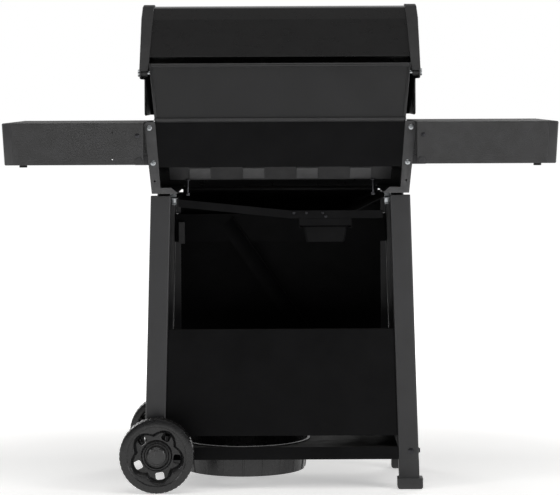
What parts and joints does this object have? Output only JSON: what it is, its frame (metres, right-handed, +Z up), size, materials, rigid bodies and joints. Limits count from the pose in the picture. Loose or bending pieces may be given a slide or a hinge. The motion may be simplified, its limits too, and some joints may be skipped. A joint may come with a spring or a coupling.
{
  "type": "gas barbecue grill",
  "caption": "Wheeled gas barbecue with a roll-back lid, fold-down side shelves, a cabinet for the bottle and a sliding grease tray; it grills food over gas burners.",
  "frame": {"origin": "on the floor, in the middle of the whole footprint", "axes": "+X the cook's right, across the width; -Y the front, towards the cook; +Z up"},
  "size_m": [1.4094, 0.5644, 1.2538],
  "materials": {
    "black_plastic": "moulded black plastic, slight sheen",
    "black_rubber": "black rubber",
    "brass": "machined brass",
    "cast_iron": "matt enamelled cast iron",
    "charcoal_casting": "cast aluminium, fine-textured charcoal coating",
    "frame_paint": "satin dark grey powder coat",
    "grained_grey_sheet": "grained dark grey powder coat",
    "matt_black_sheet": "matt black heat-resistant paint",
    "needle_red": "red paint",
    "satin_black_enamel": "baked satin black enamel on pressed steel",
    "stainless": "brushed stainless steel",
    "wheel_plastic": "moulded black plastic",
    "zinc_steel": "bright zinc plate"
  },
  "bodies": {
    "cart": {"axle": "zinc_steel", "bottle_recess": "matt_black_sheet", "bottom_shelf": "matt_black_sheet", "burners": "stainless", "control_panel": "satin_black_enamel", "cradles": "frame_paint", "cross_brace": "frame_paint", "door_catch": "black_plastic", "door_pins": "frame_paint", "feet": "black_plastic", "firebox": "charcoal_casting", "flame_tamers": "stainless", "frame_screws": "zinc_steel", "front_rail": "frame_paint", "gas_inlet": "brass", "gas_manifold": "zinc_steel", "grate_left": "cast_iron", "grate_right": "cast_iron", "igniter": "black_plastic", "knob_bezels": "stainless", "leg_front_left": "frame_paint", "leg_front_right": "frame_paint", "leg_rear_left": "frame_paint", "leg_rear_right": "frame_paint", "lid_pivot_pins": "zinc_steel", "rear_heat_shield": "matt_black_sheet", "rear_hood": "satin_black_enamel", "rear_panel": "matt_black_sheet", "shelf_hinges": "frame_paint", "side_panel_left": "frame_paint", "side_panel_right": "frame_paint", "top_rails": "frame_paint", "tray_rails": "zinc_steel", "warming_rack": "stainless"},
    "lid": {"lid_skin": "satin_black_enamel", "lid_end_right": "charcoal_casting", "lid_end_left": "charcoal_casting", "lid_handle": "stainless", "thermometer": "stainless"},
    "needle": {"thermometer_needle": "needle_red"},
    "cabinet_door": {"door": "satin_black_enamel", "door_handle": "stainless"},
    "front_wheel": {"wheel_front": "wheel_plastic", "hub_cap_front": "black_plastic"},
    "rear_wheel": {"wheel_rear": "wheel_plastic", "hub_cap_rear": "black_plastic"},
    "right_shelf": {"shelf_right": "grained_grey_sheet", "shelf_right_end": "black_plastic", "shelf_right_bumpers": "black_rubber"},
    "left_shelf": {"shelf_left": "grained_grey_sheet", "shelf_left_end": "black_plastic", "shelf_left_bumpers": "black_rubber"},
    "burner_knob_1": {"knob_1": "black_plastic"},
    "burner_knob_2": {"knob_2": "black_plastic"},
    "burner_knob_3": {"knob_3": "black_plastic"},
    "burner_knob_4": {"knob_4": "black_plastic"},
    "spark_button": {"ignition_button": "black_plastic"},
    "tray": {"grease_tray": "matt_black_sheet", "cup_holder": "matt_black_sheet"},
    "cup": {"drip_cup": "matt_black_sheet"}
  },
  "joints": [
    {"name": "lid_hinge", "type": "hinge", "parent": "cart", "child": "lid", "pos_m": [0, 0.22391, 1.068], "axis": [-1, 0, 0], "range_deg": [0, 95]},
    {"name": "needle_turn", "type": "hinge", "parent": "lid", "child": "needle", "pos_m": [0, -0.21519, 1.078], "axis": [0, 1, 0], "range_deg": [0, 250]},
    {"name": "door_hinge", "type": "hinge", "parent": "cart", "child": "cabinet_door", "pos_m": [-0.267, -0.13909, 0.43], "axis": [0, 0, -1], "range_deg": [0, 110]},
    {"name": "front_wheel_spin", "type": "hinge", "parent": "cart", "child": "front_wheel", "pos_m": [0.318, -0.18409, 0.095], "axis": [0, 1, 0], "continuous": true},
    {"name": "rear_wheel_spin", "type": "hinge", "parent": "cart", "child": "rear_wheel", "pos_m": [0.318, 0.24191, 0.095], "axis": [0, 1, 0], "continuous": true},
    {"name": "right_shelf_fold", "type": "hinge", "parent": "cart", "child": "right_shelf", "pos_m": [0.358, 0.02891, 0.845], "axis": [0, 1, 0], "range_deg": [0, 90]},
    {"name": "left_shelf_fold", "type": "hinge", "parent": "cart", "child": "left_shelf", "pos_m": [-0.358, 0.02891, 0.845], "axis": [0, -1, 0], "range_deg": [0, 90]},
    {"name": "knob_1_turn", "type": "hinge", "parent": "cart", "child": "burner_knob_1", "pos_m": [-0.2055, -0.24809, 0.898], "axis": [0, -0.9243, 0.3818], "range_deg": [0, 180]},
    {"name": "knob_2_turn", "type": "hinge", "parent": "cart", "child": "burner_knob_2", "pos_m": [-0.0685, -0.24809, 0.898], "axis": [0, -0.9243, 0.3818], "range_deg": [0, 180]},
    {"name": "knob_3_turn", "type": "hinge", "parent": "cart", "child": "burner_knob_3", "pos_m": [0.0685, -0.24809, 0.898], "axis": [0, -0.9243, 0.3818], "range_deg": [0, 180]},
    {"name": "knob_4_turn", "type": "hinge", "parent": "cart", "child": "burner_knob_4", "pos_m": [0.2055, -0.24809, 0.898], "axis": [0, -0.9243, 0.3818], "range_deg": [0, 180]},
    {"name": "spark_push", "type": "slide", "parent": "cart", "child": "spark_button", "axis": [0, 0.9243, -0.3818], "range_m": [0, 0.005], "stiffness_N_per_m": 600, "springref_m": -0.003},
    {"name": "tray_slide", "type": "slide", "parent": "cart", "child": "tray", "axis": [0, 1, 0], "range_m": [0, 0.25]},
    {"name": "cup_slide", "type": "slide", "parent": "tray", "child": "cup", "axis": [0, 1, 0], "range_m": [0, 0.15]}
  ]
}
